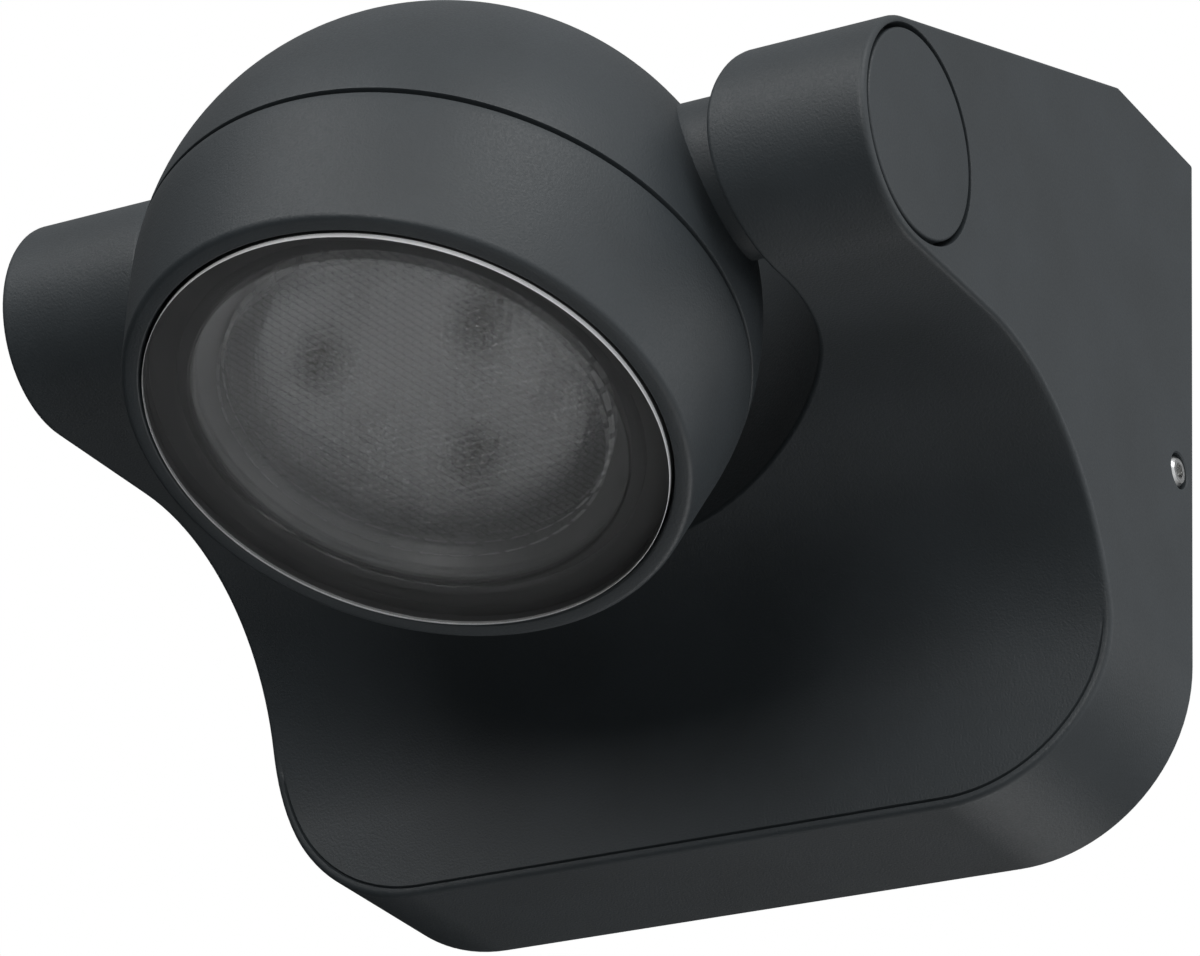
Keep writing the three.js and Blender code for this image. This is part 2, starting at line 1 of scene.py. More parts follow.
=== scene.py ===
"""Looks of a ball-head LED wall floodlight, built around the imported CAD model. Metres, +Z up.

The wall is the plane Y = 0 and the light faces -Y. The yoke, the two ball shells, the lens and the
other pieces that show are made again here as fine meshes with rounded edges, in the places that the
CAD model gives them. The CAD nodes that stay inside keep their shapes and get materials.
"""

import json
from math import acos, asin, atan2, ceil, cos, hypot, pi, radians, sin, sqrt

import bmesh
import bpy
from mathutils import Matrix, Vector


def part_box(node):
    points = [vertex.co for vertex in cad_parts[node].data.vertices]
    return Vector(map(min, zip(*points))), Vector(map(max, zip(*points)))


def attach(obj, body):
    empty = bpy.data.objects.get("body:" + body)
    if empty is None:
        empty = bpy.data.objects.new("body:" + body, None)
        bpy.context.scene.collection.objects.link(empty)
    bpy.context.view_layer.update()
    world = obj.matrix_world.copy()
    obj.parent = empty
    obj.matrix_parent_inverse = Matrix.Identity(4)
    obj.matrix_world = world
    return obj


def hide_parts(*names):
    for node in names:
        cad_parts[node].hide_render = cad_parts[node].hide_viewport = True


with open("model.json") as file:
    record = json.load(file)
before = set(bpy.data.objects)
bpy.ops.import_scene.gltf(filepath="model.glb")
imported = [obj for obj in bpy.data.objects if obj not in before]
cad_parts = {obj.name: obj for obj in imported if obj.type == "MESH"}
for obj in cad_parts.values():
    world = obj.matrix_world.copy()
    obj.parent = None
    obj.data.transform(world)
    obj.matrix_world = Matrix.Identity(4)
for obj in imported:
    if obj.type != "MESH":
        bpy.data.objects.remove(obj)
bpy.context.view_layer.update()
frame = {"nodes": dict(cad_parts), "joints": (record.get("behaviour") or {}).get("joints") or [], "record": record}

MM = 0.001

# ---------------------------------------------------------------- sizes
yoke_low, yoke_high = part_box("yoke_housing")
cap_low, cap_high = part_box("end_cap_right")
screw_low, screw_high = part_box("side_screw_right")
tilt = next(joint for joint in frame["joints"] if joint["name"] == "head_tilt")
PIVOT = Vector(tilt["pos_m"])

HALF_WIDTH = yoke_high[0]
HALF_HEIGHT = yoke_high[2]
BOSS = PIVOT.y - yoke_low[1]  # radius of the bosses
POCKET = 53.5 * MM  # radius of the upright clearance round the ball
BASE_DEPTH = 28.4 * MM
CORNER = 29.5 * MM  # radius of the base's two lower corners
SWEEP = 43.7 * MM  # radius of the concave sweep under the arms
EDGE = 0.9 * MM  # rounding of the casting's outer edges
WALL = 3 * MM
CAP = (cap_high[2] - cap_low[2]) / 2  # radius of the end caps
CAP_SEAT = 16.8 * MM  # radius of the seats that the caps sit in
SCREW_Y = (screw_low[1] + screw_high[1]) / 2
SCREW_Z = (screw_low[2] + screw_high[2]) / 2
CABLE_Z = 38 * MM  # height of the cable's way in

# The head's radii are counted from the lamp axis, its levels forward from the ball's centre.
BALL = 48 * MM
OFFSET = 17.6 * MM  # tilt axis to ball centre
REST_TILT = radians(69.5)
SHELL = 3 * MM
COLLAR = 12.7 * MM  # radius of the ball's two collars
COLLAR_BORE = 6.3 * MM
COLLAR_END = 55.5 * MM  # distance of a collar's end from the middle
SEAM = 46.6 * MM  # radius of the shells' inner wall at the seam
SEAM_REAR = 2.3 * MM
SEAM_FRONT = 3.1 * MM
SEAM_LIP = 0.35 * MM  # rounding of the shells' edges at the seam
TAPER_START = 10 * MM  # the front ring leaves the ball here and runs straight to its flat face
RING_FRONT_RADIUS = 43.7 * MM
RING_ROUND = 1.1 * MM  # rounding between the taper and the flat face
RING_SEAT = 37.2 * MM  # inner radius of the front ring behind the lens
RING_REAR = 18.4 * MM
LENS = 40.3 * MM
LENS_REAR = 22 * MM
LENS_PLANE = 25.9 * MM
LENS_PROUD = 0.5 * MM  # how far the lens stands out of the front ring's face
LENS_CHAMFER = 0.08 * MM
PAINT_START = 36 * MM  # the black print on the back of the lens reaches from here to its edge
WINDOW = 33.6 * MM
CUP_TOP = 20.4 * MM
CUP_FLOOR = 8.1 * MM
CUP_FLOOR_RADIUS = 25.5 * MM
CUP_FLANGE = 36.8 * MM
CUP_WALL_THICKNESS = 1.2 * MM
PLATE = 30.2 * MM  # radius of the prismatic plate
PLATE_REAR = 15.8 * MM
PLATE_FRONT = 16.9 * MM
PLATE_CHAMFER = 0.6 * MM  # its frosted face, which clear gaps break into dashes
PRISM_PITCH = 1.55 * MM
PRISM_DEPTH = 0.13 * MM
PRISM_TOP = 0.62  # the flat top's share of a prism's width
LED_RING = 16.3 * MM
LED_HOLE = 4.6 * MM
LED_ANGLES = (90, 210, 330)
LED_HALF = 2.5 * MM  # half the width of a package
LED_DOME = 2.1 * MM


# ---------------------------------------------------------------- materials
def new_material(name):
    material = bpy.data.materials.new(name)
    material.use_nodes = True
    nodes = material.node_tree.nodes
    return material, nodes, material.node_tree.links, nodes["Principled BSDF"]


def noise(nodes, links, scale, detail=4.0, roughness=0.55):
    place = nodes.get("Texture Coordinate") or nodes.new("ShaderNodeTexCoord")
    texture = nodes.new("ShaderNodeTexNoise")
    texture.inputs["Scale"].default_value = scale
    texture.inputs["Detail"].default_value = detail
    texture.inputs["Roughness"].default_value = roughness
    links.new(place.outputs["Object"], texture.inputs["Vector"])
    return texture.outputs["Fac"]


def ramp(nodes, links, value, low, high, start=0.35, end=0.65):
    node = nodes.new("ShaderNodeValToRGB")
    node.color_ramp.elements[0].position = start
    node.color_ramp.elements[0].color = low
    node.color_ramp.elements[1].position = end
    node.color_ramp.elements[1].color = high
    links.new(value, node.inputs["Fac"])
    return node.outputs["Color"]


def remap(nodes, links, value, low, high):
    node = nodes.new("ShaderNodeMapRange")
    node.inputs["From Min"].default_value = 0.3
    node.inputs["From Max"].default_value = 0.7
    node.inputs["To Min"].default_value = low
    node.inputs["To Max"].default_value = high
    links.new(value, node.inputs["Value"])
    return node.outputs["Result"]


def bump(nodes, links, shader, height, distance, strength=1.0):
    node = nodes.new("ShaderNodeBump")
    node.inputs["Distance"].default_value = distance
    node.inputs["Strength"].default_value = strength
    links.new(height, node.inputs["Height"])
    links.new(node.outputs["Normal"], shader.inputs["Normal"])


def grey(level, warmth=0.0):
    return (level * (1 + warmth), level, level * (1 - warmth), 1)


def surface(name, low, high, rough, grain, depth, metal=0.0, clouds=60.0, specular=0.5):
    """A finish with cloudy colour between low and high, uneven roughness and a fine grain in relief."""
    material, nodes, links, shader = new_material(name)
    cloud = noise(nodes, links, clouds)
    fine = noise(nodes, links, grain, detail=2.0)
    links.new(ramp(nodes, links, cloud, low, high), shader.inputs["Base Color"])
    links.new(remap(nodes, links, fine, rough[0], rough[1]), shader.inputs["Roughness"])
    shader.inputs["Metallic"].default_value = metal
    shader.inputs["Specular IOR Level"].default_value = specular
    bump(nodes, links, shader, fine, depth)
    return material


def reflector(name, low, high):
    return surface(name, grey(low), grey(high), (0.3, 0.42), 700.0, 0.01 * MM, metal=0.2, clouds=150.0)


def frosted(name, low, high):
    return surface(name, grey(low), grey(high), (0.2, 0.3), 400.0, 0.002 * MM)


def zinc(name):
    return surface(name, grey(0.38), grey(0.52), (0.3, 0.5), 500.0, 0.01 * MM, metal=1.0, clouds=220.0)


def led_package(name):
    """The yellowish grey of a phosphor that is switched off."""
    low, high = (0.1, 0.094, 0.075, 1), (0.14, 0.13, 0.105, 1)
    return surface(name, low, high, (0.15, 0.25), 1500.0, 0.01 * MM)


def powder_coat(name="powder_coat", lift=1.0):
    low = (0.026 * lift, 0.031 * lift, 0.034 * lift, 1)
    high = (0.031 * lift, 0.037 * lift, 0.041 * lift, 1)
    return surface(name, low, high, (0.42, 0.56), 2600.0, 0.05 * MM, clouds=45.0, specular=0.45)


def clear_plastic(name, alpha):
    """Clear plastic; an alpha below 1 lets part of the light straight through into the cup."""
    material, nodes, links, shader = new_material(name)
    haze = noise(nodes, links, 900.0, detail=2.0)
    tint = ramp(nodes, links, haze, (0.97, 0.98, 0.985, 1), (0.99, 0.995, 1.0, 1))
    links.new(tint, shader.inputs["Base Color"])
    links.new(remap(nodes, links, haze, 0.0, 0.03), shader.inputs["Roughness"])
    shader.inputs["Transmission Weight"].default_value = 1.0
    shader.inputs["IOR"].default_value = 1.49
    shader.inputs["Alpha"].default_value = alpha
    return material


def brushed(name, colour, rough):
    """Metal with fine lines round the piece."""
    material, nodes, links, shader = new_material(name)
    place = nodes.new("ShaderNodeTexCoord")
    squeeze = nodes.new("ShaderNodeMapping")
    squeeze.inputs["Scale"].default_value = (4000.0, 500.0, 4000.0)
    lines = nodes.new("ShaderNodeTexNoise")
    lines.inputs["Scale"].default_value = 1.0
    links.new(place.outputs["Object"], squeeze.inputs["Vector"])
    links.new(squeeze.outputs["Vector"], lines.inputs["Vector"])
    dark = tuple(0.8 * c for c in colour) + (1,)
    height = lines.outputs["Fac"]
    links.new(ramp(nodes, links, height, dark, tuple(colour) + (1,)), shader.inputs["Base Color"])
    links.new(remap(nodes, links, height, rough[0], rough[1]), shader.inputs["Roughness"])
    shader.inputs["Metallic"].default_value = 1.0
    bump(nodes, links, shader, height, 0.01 * MM)
    return material


MATERIALS = {
    "powder_coat": powder_coat(),
    "end_cap": powder_coat("end_cap", 1.06),
    "rubber": surface("rubber", grey(0.009), grey(0.015), (0.6, 0.8), 1800.0, 0.03 * MM),
    "zinc_plate": zinc("zinc_plate"),
    "nylon": surface("nylon", grey(0.6, 0.04), grey(0.68, 0.04), (0.45, 0.6), 1500.0, 0.02 * MM),
    "brass": brushed("brass", (0.62, 0.43, 0.17), (0.25, 0.42)),
    "driver_case": surface("driver_case", grey(0.68, 0.02), grey(0.76, 0.02), (0.4, 0.55), 1800.0, 0.03 * MM),
    "lead_sleeve": surface("lead_sleeve", grey(0.012), grey(0.02), (0.5, 0.65), 900.0, 0.02 * MM),
    "stainless": brushed("stainless", (0.68, 0.68, 0.67), (0.18, 0.32)),
    "lens": clear_plastic("lens", 0.6),
    "border_mask": surface("border_mask", grey(0.06), grey(0.07), (0.35, 0.45), 300.0, 0.002 * MM),
    "reflector": reflector("reflector", 0.84, 0.9),
    "circuit_board": surface("circuit_board", grey(0.66), grey(0.72), (0.35, 0.45), 1200.0, 0.02 * MM),
    "aluminium": brushed("aluminium", (0.6, 0.61, 0.62), (0.3, 0.45)),
    "led": led_package("led"),
}

LENS_EDGE = frosted("lens_edge", 0.8, 0.9)
PRISM_PLASTIC = clear_plastic("prism_plastic", 0.72)
PLATE_EDGE = frosted("plate_edge", 0.94, 0.98)
# A darker copy of the reflector finish for the cup's wall: painted shade where the wall lies out of the light.
SHADED_CUP_WALL = reflector("cup_wall_painted_shade", 0.29, 0.34)
PAINTED_SCREW = surface("painted_screw", grey(0.84), grey(0.9), (0.4, 0.5), 900.0, 0.01 * MM)


# ---------------------------------------------------------------- mesh helpers
def finish_mesh(name, bm, slot, sharp=radians(32)):
    """A smooth-shaded object from bm, with the edges over the angle `sharp` kept crisp."""
    bmesh.ops.recalc_face_normals(bm, faces=bm.faces)
    for face in bm.faces:
        face.smooth = True
    for edge in bm.edges:
        edge.smooth = len(edge.link_faces) == 2 and edge.calc_face_angle(0.0) < sharp
    mesh = bpy.data.meshes.new(name)
    bm.to_mesh(mesh)
    bm.free()
    piece = bpy.data.objects.new(name, mesh)
    bpy.context.scene.collection.objects.link(piece)
    mesh.materials.append(MATERIALS[slot])
    return piece


def rounded_path(corners, steps=5):
    """Points of a path through (a, b, radius) corners, each rounded by its radius in metres."""
    points = []
    for i, (a, b, radius) in enumerate(corners):
        here = Vector((a, b))
        if radius <= 0 or i in (0, len(corners) - 1):
            points.append(here)
            continue
        back = (Vector(corners[i - 1][:2]) - here).normalized()
        ahead = (Vector(corners[i + 1][:2]) - here).normalized()
        half = back.angle(ahead) / 2
        reach = radius / max(sin(half), 1e-6) * cos(half)
        centre = here + (back + ahead).normalized() * radius / sin(half)
        start = here + back * reach - centre
        end = here + ahead * reach - centre
        turn = atan2(start.x * end.y - start.y * end.x, start.x * end.x + start.y * end.y)
        for k in range(steps + 1):
            c = cos(turn * k / steps)
            d = sin(turn * k / steps)
            points.append(centre + Vector((start.x * c - start.y * d, start.x * d + start.y * c)))
    return points


def lathe_mesh(profile, segments, axis):
    """A bmesh turned from (radius, along) points about the X axis or the Y axis; ends on the axis close."""
    bm = bmesh.new()
    rings = []
    for r, along in profile:
        count = 1 if r < 1e-7 else segments
        ring = []
        for k in range(count):
            angle = 2 * pi * k / segments
            u, v = r * cos(angle), r * sin(angle)
            ring.append(bm.verts.new((along, u, v) if axis == "X" else (u, along, v)))
        rings.append(ring)
    closed = len(rings[0]) > 1 or len(rings[-1]) > 1
    pairs = list(zip(rings, rings[1:])) + ([(rings[-1], rings[0])] if closed else [])
    for one, two in pairs:
        for k in range(segments):
            n = (k + 1) % segments
            corners = [one[k % len(one)], one[n % len(one)], two[n % len(two)], two[k % len(two)]]
            unique = list(dict.fromkeys(corners))
            if len(unique) > 2:
                bm.faces.new(unique)
    return bm


def prism_mesh(outline, low, high, plane="XZ"):
    """A bmesh of a flat outline, pushed from low to high along the axis that the plane leaves out."""
    places = {
        "XZ": lambda a, b, t: (a, t, b),
        "YZ": lambda a, b, t: (t, a, b),
        "XY": lambda a, b, t: (a, b, t),
    }
    place = places[plane]
    bm = bmesh.new()
    under = [bm.verts.new(place(a, b, low)) for a, b in outline]
    over = [bm.verts.new(place(a, b, high)) for a, b in outline]
    bm.faces.new(under)
    bm.faces.new(list(reversed(over)))
    for i in range(len(outline)):
        n = (i + 1) % len(outline)
        bm.faces.new((under[i], over[i], over[n], under[n]))
    return bm


def round_edges(bm, width, segments=3, over=radians(40)):
    bmesh.ops.recalc_face_normals(bm, faces=bm.faces)
    sharp = [e for e in bm.edges if len(e.link_faces) == 2 and e.calc_face_angle(0.0) > over]
    bmesh.ops.bevel(
        bm, geom=sharp, offset=width, offset_type="OFFSET", segments=segments, profile=0.5,
        affect="EDGES", clamp_overlap=True,
    )
    return bm


def circle(radius, count, a=0.0, b=0.0):
    angles = [2 * pi * k / count for k in range(count)]
    return [(a + radius * cos(t), b + radius * sin(t)) for t in angles]


def combine(body, tools, operation):
    """Cuts the tools from body, or joins them to it. Tools are bmeshes, used up here."""
    scene = bpy.context.scene
    for i, tool in enumerate(tools):
        bmesh.ops.recalc_face_normals(tool, faces=tool.faces)
        mesh = bpy.data.meshes.new(f"tool_{i}")
        tool.to_mesh(mesh)
        tool.free()
        other = bpy.data.objects.new(f"tool_{i}", mesh)
        scene.collection.objects.link(other)
        modifier = body.modifiers.new("combine", "BOOLEAN")
        modifier.operation = operation
        modifier.solver = "EXACT"
        modifier.object = other
        bpy.context.view_layer.update()
        graph = bpy.context.evaluated_depsgraph_get()
        result = bpy.data.meshes.new_from_object(body.evaluated_get(graph))
        body.modifiers.clear()
        old = body.data
        body.data = result
        bpy.data.meshes.remove(old)
        bpy.data.objects.remove(other)
        bpy.data.meshes.remove(mesh)
    return body


def reshade(piece, sharp=radians(32)):
    """Marks smooth faces and crisp edges again after the cuts."""
    bm = bmesh.new()
    bm.from_mesh(piece.data)
    bmesh.ops.remove_doubles(bm, verts=bm.verts, dist=1e-7)
    bmesh.ops.dissolve_degenerate(bm, edges=bm.edges, dist=1e-7)
    for face in bm.faces:
        face.smooth = True
    for edge in bm.edges:
        edge.smooth = len(edge.link_faces) == 2 and edge.calc_face_angle(0.0) < sharp
    bm.to_mesh(piece.data)
    bm.free()
    weighted = piece.modifiers.new("weighted", "WEIGHTED_NORMAL")
    weighted.keep_sharp = True
    weighted.weight = 100
    return piece


def settle(piece, body, slot, *nodes):
    """Puts the piece on its body, in the place of the CAD nodes."""
    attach(piece, body)
    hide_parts(*nodes)
    return piece


# ---------------------------------------------------------------- yoke
# Y and Z of the profile are counted from the tilt axis.
REAR = yoke_high[1] - PIVOT.y
FRONT = -BASE_DEPTH - PIVOT.y
TOP = HALF_HEIGHT - PIVOT.z
BOTTOM = -HALF_HEIGHT - PIVOT.z
CORNER_START = BOTTOM + CORNER
SLOPE = atan2(TOP, FRONT) + acos(BOSS / hypot(TOP, FRONT))  # direction of the sloping top's normal
LINE_INSET = 0.95 * MM  # the fine line cut along the lower front edge
LINE_WIDTH = 0.5 * MM
LINE_DEPTH = 0.5 * MM
LEAD_X = 70.8 * MM  # where the lead to the head passes from a boss into the base
LEAD_BORE = 2.2 * MM
ARC_STEPS = 4  # points round a rounded edge of the casting


def spread(start, end, step):
    """Values from start to end, evenly spaced no wider than step, both ends included."""
    count = max(1, ceil(abs(end - start) / step))
    return [start + (end - start) * k / count for k in range(count + 1)]


def yoke_profile():
    """(centre, normal) samples of a ball of radius EDGE rolled inside the side profile: from the rear of
    the top, forward round the bosses, back under the arms and down the front of the base."""
    f = EDGE
    slope_normal = Vector((cos(SLOPE), sin(SLOPE)))
    crease_u = (BOSS - f - (TOP - f) * slope_normal.y) / slope_normal.x
    ring = POCKET + f
    samples = [(Vector((u, TOP - f)), Vector((0, 1))) for u in spread(REAR, crease_u, 20 * MM)]
    for angle in spread(pi / 2, SLOPE, radians(7))[1:]:
        samples.append((Vector((crease_u, TOP - f)), Vector((cos(angle), sin(angle)))))

    def on_slope(u):
        return Vector((u, (BOSS - f - u * slope_normal.x) / slope_normal.y))

    samples += [(on_slope(u), slope_normal) for u in spread(crease_u, ring, 6 * MM)[1:-1]]
    last = acos((BOSS - f) * slope_normal.x / ring)
    samples += [(on_slope(ring * cos(t)), slope_normal) for t in spread(0, last, radians(3))]
    for angle in spread(SLOPE, pi, radians(4))[1:] + spread(pi, 1.5 * pi, radians(4))[1:]:
        normal = Vector((cos(angle), sin(angle)))
        samples.append((normal * (BOSS - f), normal))
    sweep_u = FRONT - SWEEP
    sweep_w = -BOSS - SWEEP
    turn = acos(sweep_u / ring)
    for t in spread(pi / 2, turn, radians(3))[1:]:
        samples.append((Vector((ring * cos(t), -(BOSS - f))), Vector((0, -1))))
    arcs = [acos((ring * cos(t) - sweep_u) / (SWEEP + f)) for t in spread(turn, 0, radians(3))[1:]]
    corner_arc = asin((CORNER_START - sweep_w) / (SWEEP + f))
    arcs += spread(arcs[-1], corner_arc, radians(3))[1:]
    arcs += spread(corner_arc, 0, radians(2.5))[1:]
    for angle in arcs:
        outward = Vector((cos(angle), sin(angle)))
        samples.append((Vector((sweep_u, sweep_w)) + outward * (SWEEP + f), -outward))
    first = asin((CORNER_START - sweep_w) / (CORNER - f))
    for beta in spread(first, pi / 2, radians(3.5))[1:]:
        samples.append((Vector((FRONT + f, CORNER_START - (CORNER - f) * sin(beta))), Vector((-1, 0))))
    return samples


def line_fade(height):
    """1 along the bottom and the corners of the front, running out to 0 where the sweep begins to rise."""
    top = CORNER_START - 1 * MM
    low = CORNER_START - 9 * MM
    t = min(1.0, max(0.0, (top - height) / (top - low)))
    return t * t * (3 - 2 * t)


def edge_points(centre, normal):
    """Points across the outer edge, from the skin to the side: the fine line, then the rounding."""
    f = EDGE
    u, w = centre
    if w >= CORNER_START - 1e-9:
        x = HALF_WIDTH - f
        side = Vector((1, 0, 0))
    else:
        drop = CORNER_START - w
        reach = sqrt(max((CORNER - f) ** 2 - drop**2, 0))
        x = HALF_WIDTH - CORNER + reach
        side = Vector((reach, 0, -drop)).normalized()
    ball = Vector((x, u, w))
    skin = Vector((0, normal.x, normal.y))
    along = (side - skin * side.dot(skin)).normalized()
    top = ball + skin * f
    depth = LINE_DEPTH * line_fade(w)
    points = [
        top - along * LINE_INSET,
        top - along * (LINE_INSET - LINE_WIDTH / 2) - skin * depth,
        top - along * (LINE_INSET - LINE_WIDTH),
    ]
    points += [ball + skin.slerp(side, k / ARC_STEPS) * f for k in range(ARC_STEPS + 1)]
    return points


def pocket_points(centre, normal):
    """Points across the pocket's edge, from the skin to the pocket wall, or None behind the pocket."""
    f = EDGE
    u, w = centre
    ring = POCKET + f
    if u > ring + 1e-7:
        return None
    x = 0.0 if abs(u - ring) < 1e-7 else sqrt(max(ring**2 - u**2, 0))
    ball = Vector((x, u, w))
    skin = Vector((0, normal.x, normal.y))
    wall = Vector((-x, -u, 0)) / ring
    return [ball + skin.slerp(wall, k / ARC_STEPS) * f for k in range(ARC_STEPS + 1)]


class Maker:
    """Adds faces by their corners, sharing the vertices that coincide."""

    def __init__(self):
        self.bm = bmesh.new()
        self.known = {}

    def vertex(self, point):
        key = tuple(round(c * 1e7) for c in point)
        if key not in self.known:
            self.known[key] = self.bm.verts.new(point)
        return self.known[key]

    def face(self, points):
        corners = list(dict.fromkeys(self.vertex(p) for p in points))
        if len(corners) > 2 and not self.bm.faces.get(corners):
            self.bm.faces.new(corners)


def stitch(maker, one, two, order):
    """Triangles between two chains of points that run the same way."""
    i = j = 0
    while i < len(one) - 1 or j < len(two) - 1:
        ahead_one = order(one[i + 1]) if i < len(one) - 1 else float("inf")
        ahead_two = order(two[j + 1]) if j < len(two) - 1 else float("inf")
        if ahead_one <= ahead_two:
            maker.face((one[i], one[i + 1], two[j]))
            i += 1
        else:
            maker.face((one[i], two[j + 1], two[j]))
            j += 1


def yoke_skin():
    """The closed outside of the yoke, before its bores and hollow are cut."""
    samples = yoke_profile()
    outer = [edge_points(*s) for s in samples]
    inner = [pocket_points(*s) for s in samples]
    maker = Maker()
    sides = {s: (lambda p, s=s: Vector((s * p.x, p.y, p.z))) for s in (1, -1)}
    for i in range(len(samples) - 1):
        a, b = i, i + 1
        if inner[a] and inner[b]:
            for at in sides.values():
                maker.face([at(p) for p in (inner[a][0], outer[a][0], outer[b][0], inner[b][0])])
                for k in range(ARC_STEPS):
                    maker.face([at(p) for p in (inner[a][k], inner[a][k + 1], inner[b][k + 1], inner[b][k])])
        else:
            left = [sides[-1](outer[a][0]), sides[-1](outer[b][0])]
            right = [outer[b][0], outer[a][0]]
            middle_b = [inner[b][0]] if inner[b] else []
            middle_a = [inner[a][0]] if inner[a] else []
            maker.face(left + middle_b + right + middle_a)
        for at in sides.values():
            for k in range(len(outer[a]) - 1):
                maker.face([at(p) for p in (outer[a][k], outer[a][k + 1], outer[b][k + 1], outer[b][k])])
    corner = next(i for i, s in enumerate(samples) if s[0].y <= CORNER_START + 1e-9 and s[0].x > 0)
    behind = [Vector((points[-1].x, REAR, points[-1].z)) for points in outer]
    last = len(samples) - 1
    for at in sides.values():
        maker.face([at(points[-1]) for points in outer[: corner + 1]] + [at(behind[corner])])
        for i in range(corner, last):
            maker.face([at(p) for p in (outer[i][-1], outer[i + 1][-1], behind[i + 1], behind[i])])
        nose = next(i for i, s in enumerate(samples) if abs(s[1].x + 1) < 1e-6 and s[0].x < 0)
        upper = [inner[i][-1] for i in range(nose, -1, -1) if inner[i]]
        lower = [inner[i][-1] for i in range(nose, len(samples)) if inner[i]]
        stitch(maker, [at(p) for p in upper], [at(p) for p in lower], lambda p: p.y)
    foot = outer[last]
    for k in range(len(foot) - 1):
        maker.face([foot[k], foot[k + 1], sides[-1](foot[k + 1]), sides[-1](foot[k])])
    maker.face([foot[-1], behind[last], sides[-1](behind[last]), sides[-1](foot[-1])])
    rim = list(outer[0]) + behind[corner:]
    maker.face(rim + [sides[-1](p) for p in reversed(rim)])
    bmesh.ops.translate(maker.bm, verts=maker.bm.verts, vec=PIVOT - Vector((PIVOT.x, 0, 0)))
    return maker.bm


def front_outline(inset, steps=14):
    """The base's outline from the front, in X and Z, drawn in by inset."""
    x, z, r = HALF_WIDTH - inset, HALF_HEIGHT - inset, CORNER - inset
    arc = [(x - r + r * cos(t), -z + r + r * sin(t)) for t in spread(0, -pi / 2, pi / 2 / steps)]
    half = [(x, z)] + arc
    return half + [(-a, b) for a, b in reversed(half)]


def rod(radius, start, end, centre, axis):
    """A plain round cutter along the X or Y axis, its centre line through `centre`."""
    bm = lathe_mesh([(0, start), (radius, start), (radius, end), (0, end)], 32, axis)
    bmesh.ops.translate(bm, verts=bm.verts, vec=Vector(centre))
    return bm


def turned_cutter(profile, side, centre, segments=72):
    """A cutter turned about X from (radius, X) points in millimetres, on one side of the middle."""
    bm = lathe_mesh([(r * MM, side * x * MM) for r, x in profile], segments, "X")
    bmesh.ops.translate(bm, verts=bm.verts, vec=Vector(centre))
    return bm


def hollow_cutter():
    """The space inside the yoke, a wall thickness in from the outside."""
    slope = -1 / (sin(SLOPE) / cos(SLOPE))
    arm = PIVOT.y + BOSS + 2 * MM
    front = -BASE_DEPTH
    low = PIVOT.z - BOSS
    centre = (front - SWEEP, low - SWEEP)

    def on_top(y):
        return HALF_HEIGHT + (y - front) * slope - WALL / sin(SLOPE)

    radius = SWEEP + WALL
    outline = [(1 * MM, -HALF_HEIGHT + WALL), (1 * MM, HALF_HEIGHT - WALL), (front, HALF_HEIGHT - WALL)]
    outline += [(front, on_top(front)), (arm, on_top(arm)), (arm, low + WALL)]
    for t in spread(pi / 2, 0, radians(5)):
        outline.append((centre[0] + radius * cos(t), centre[1] + radius * sin(t)))
    outline.append((front + WALL, -HALF_HEIGHT + WALL))
    block = prism_mesh(outline, -HALF_WIDTH + WALL, HALF_WIDTH - WALL, "YZ")
    body = finish_mesh("hollow", block, "powder_coat")
    combine(body, [prism_mesh(front_outline(WALL), 2 * PIVOT.y, 2 * MM)], "INTERSECT")
    round_wall = prism_mesh(circle(POCKET + WALL, 96, 0, PIVOT.y), -2 * HALF_HEIGHT, 2 * HALF_HEIGHT, "XY")
    combine(body, [round_wall], "DIFFERENCE")
    bm = bmesh.new()
    bm.from_mesh(body.data)
    bpy.data.meshes.remove(body.data)
    return bm


def yoke():
    """The casting: hollow behind, with a stepped bore for each pivot and a socket for each side screw."""
    body = finish_mesh("yoke_cast", yoke_skin(), "powder_coat")
    rebate = prism_mesh(front_outline(1.5 * MM), -3 * MM, 1 * MM)
    cutters = [hollow_cutter(), rebate]
    seat = CAP_SEAT / MM
    half = HALF_WIDTH / MM
    for side in (-1, 1):
        bores = [
            (0, 44), (13.3, 44), (13.3, 58), (9.3, 58), (9.3, 63.2), (14.5, 63.2), (14.5, 73.2),
            (seat, 73.2), (seat, half - 0.25), (seat + 0.1, half - 0.07), (seat + 0.3, half + 0.01),
            (seat + 0.3, 80), (0, 80),
        ]
        cutters.append(turned_cutter(bores, side, (0, PIVOT.y, PIVOT.z)))
        lead_way = (side * LEAD_X, 0, PIVOT.z)
        cutters.append(rod(LEAD_BORE, PIVOT.y + 5 * MM, PIVOT.y + BOSS + 5 * MM, lead_way, "Y"))
        socket = [
            (0, 70), (1.9, 70), (1.9, half - 1.7), (3, half - 1.7), (3, half - 0.2),
            (3.25, half + 0.01), (3.25, 80), (0, 80),
        ]
        cutters.append(turned_cutter(socket, side, (0, SCREW_Y, SCREW_Z), 40))
    combine(body, cutters, "DIFFERENCE")
    reshade(body)
    return settle(body, "bracket", "powder_coat", "yoke_housing")


yoke()


# ---------------------------------------------------------------- lamp head
# The head is made with its lens looking along -Y and the tilt axis at the origin, then tilted.
HEAD = Matrix.Translation(PIVOT) @ Matrix.Rotation(REST_TILT, 4, "X")


def level(distance):
    """Y of a plane that lies this far in front of the ball centre."""
    return -(OFFSET + distance)


def ball_arc(radius, start, end, step=radians(2.5)):
    """Points of the ball's outline, from one level to another."""
    angles = spread(asin(start / radius), asin(end / radius), step)
    return [(radius * cos(t), level(radius * sin(t))) for t in angles]


def on_ring(radius, degrees):
    angle = radians(degrees)
    return radius * cos(angle), -radius * sin(angle)


def turned(name, profile, slot, segments=160):
    """A piece turned about the lamp axis from (radius, y) points."""
    return finish_mesh(name, lathe_mesh(profile, segments, "Y"), slot)


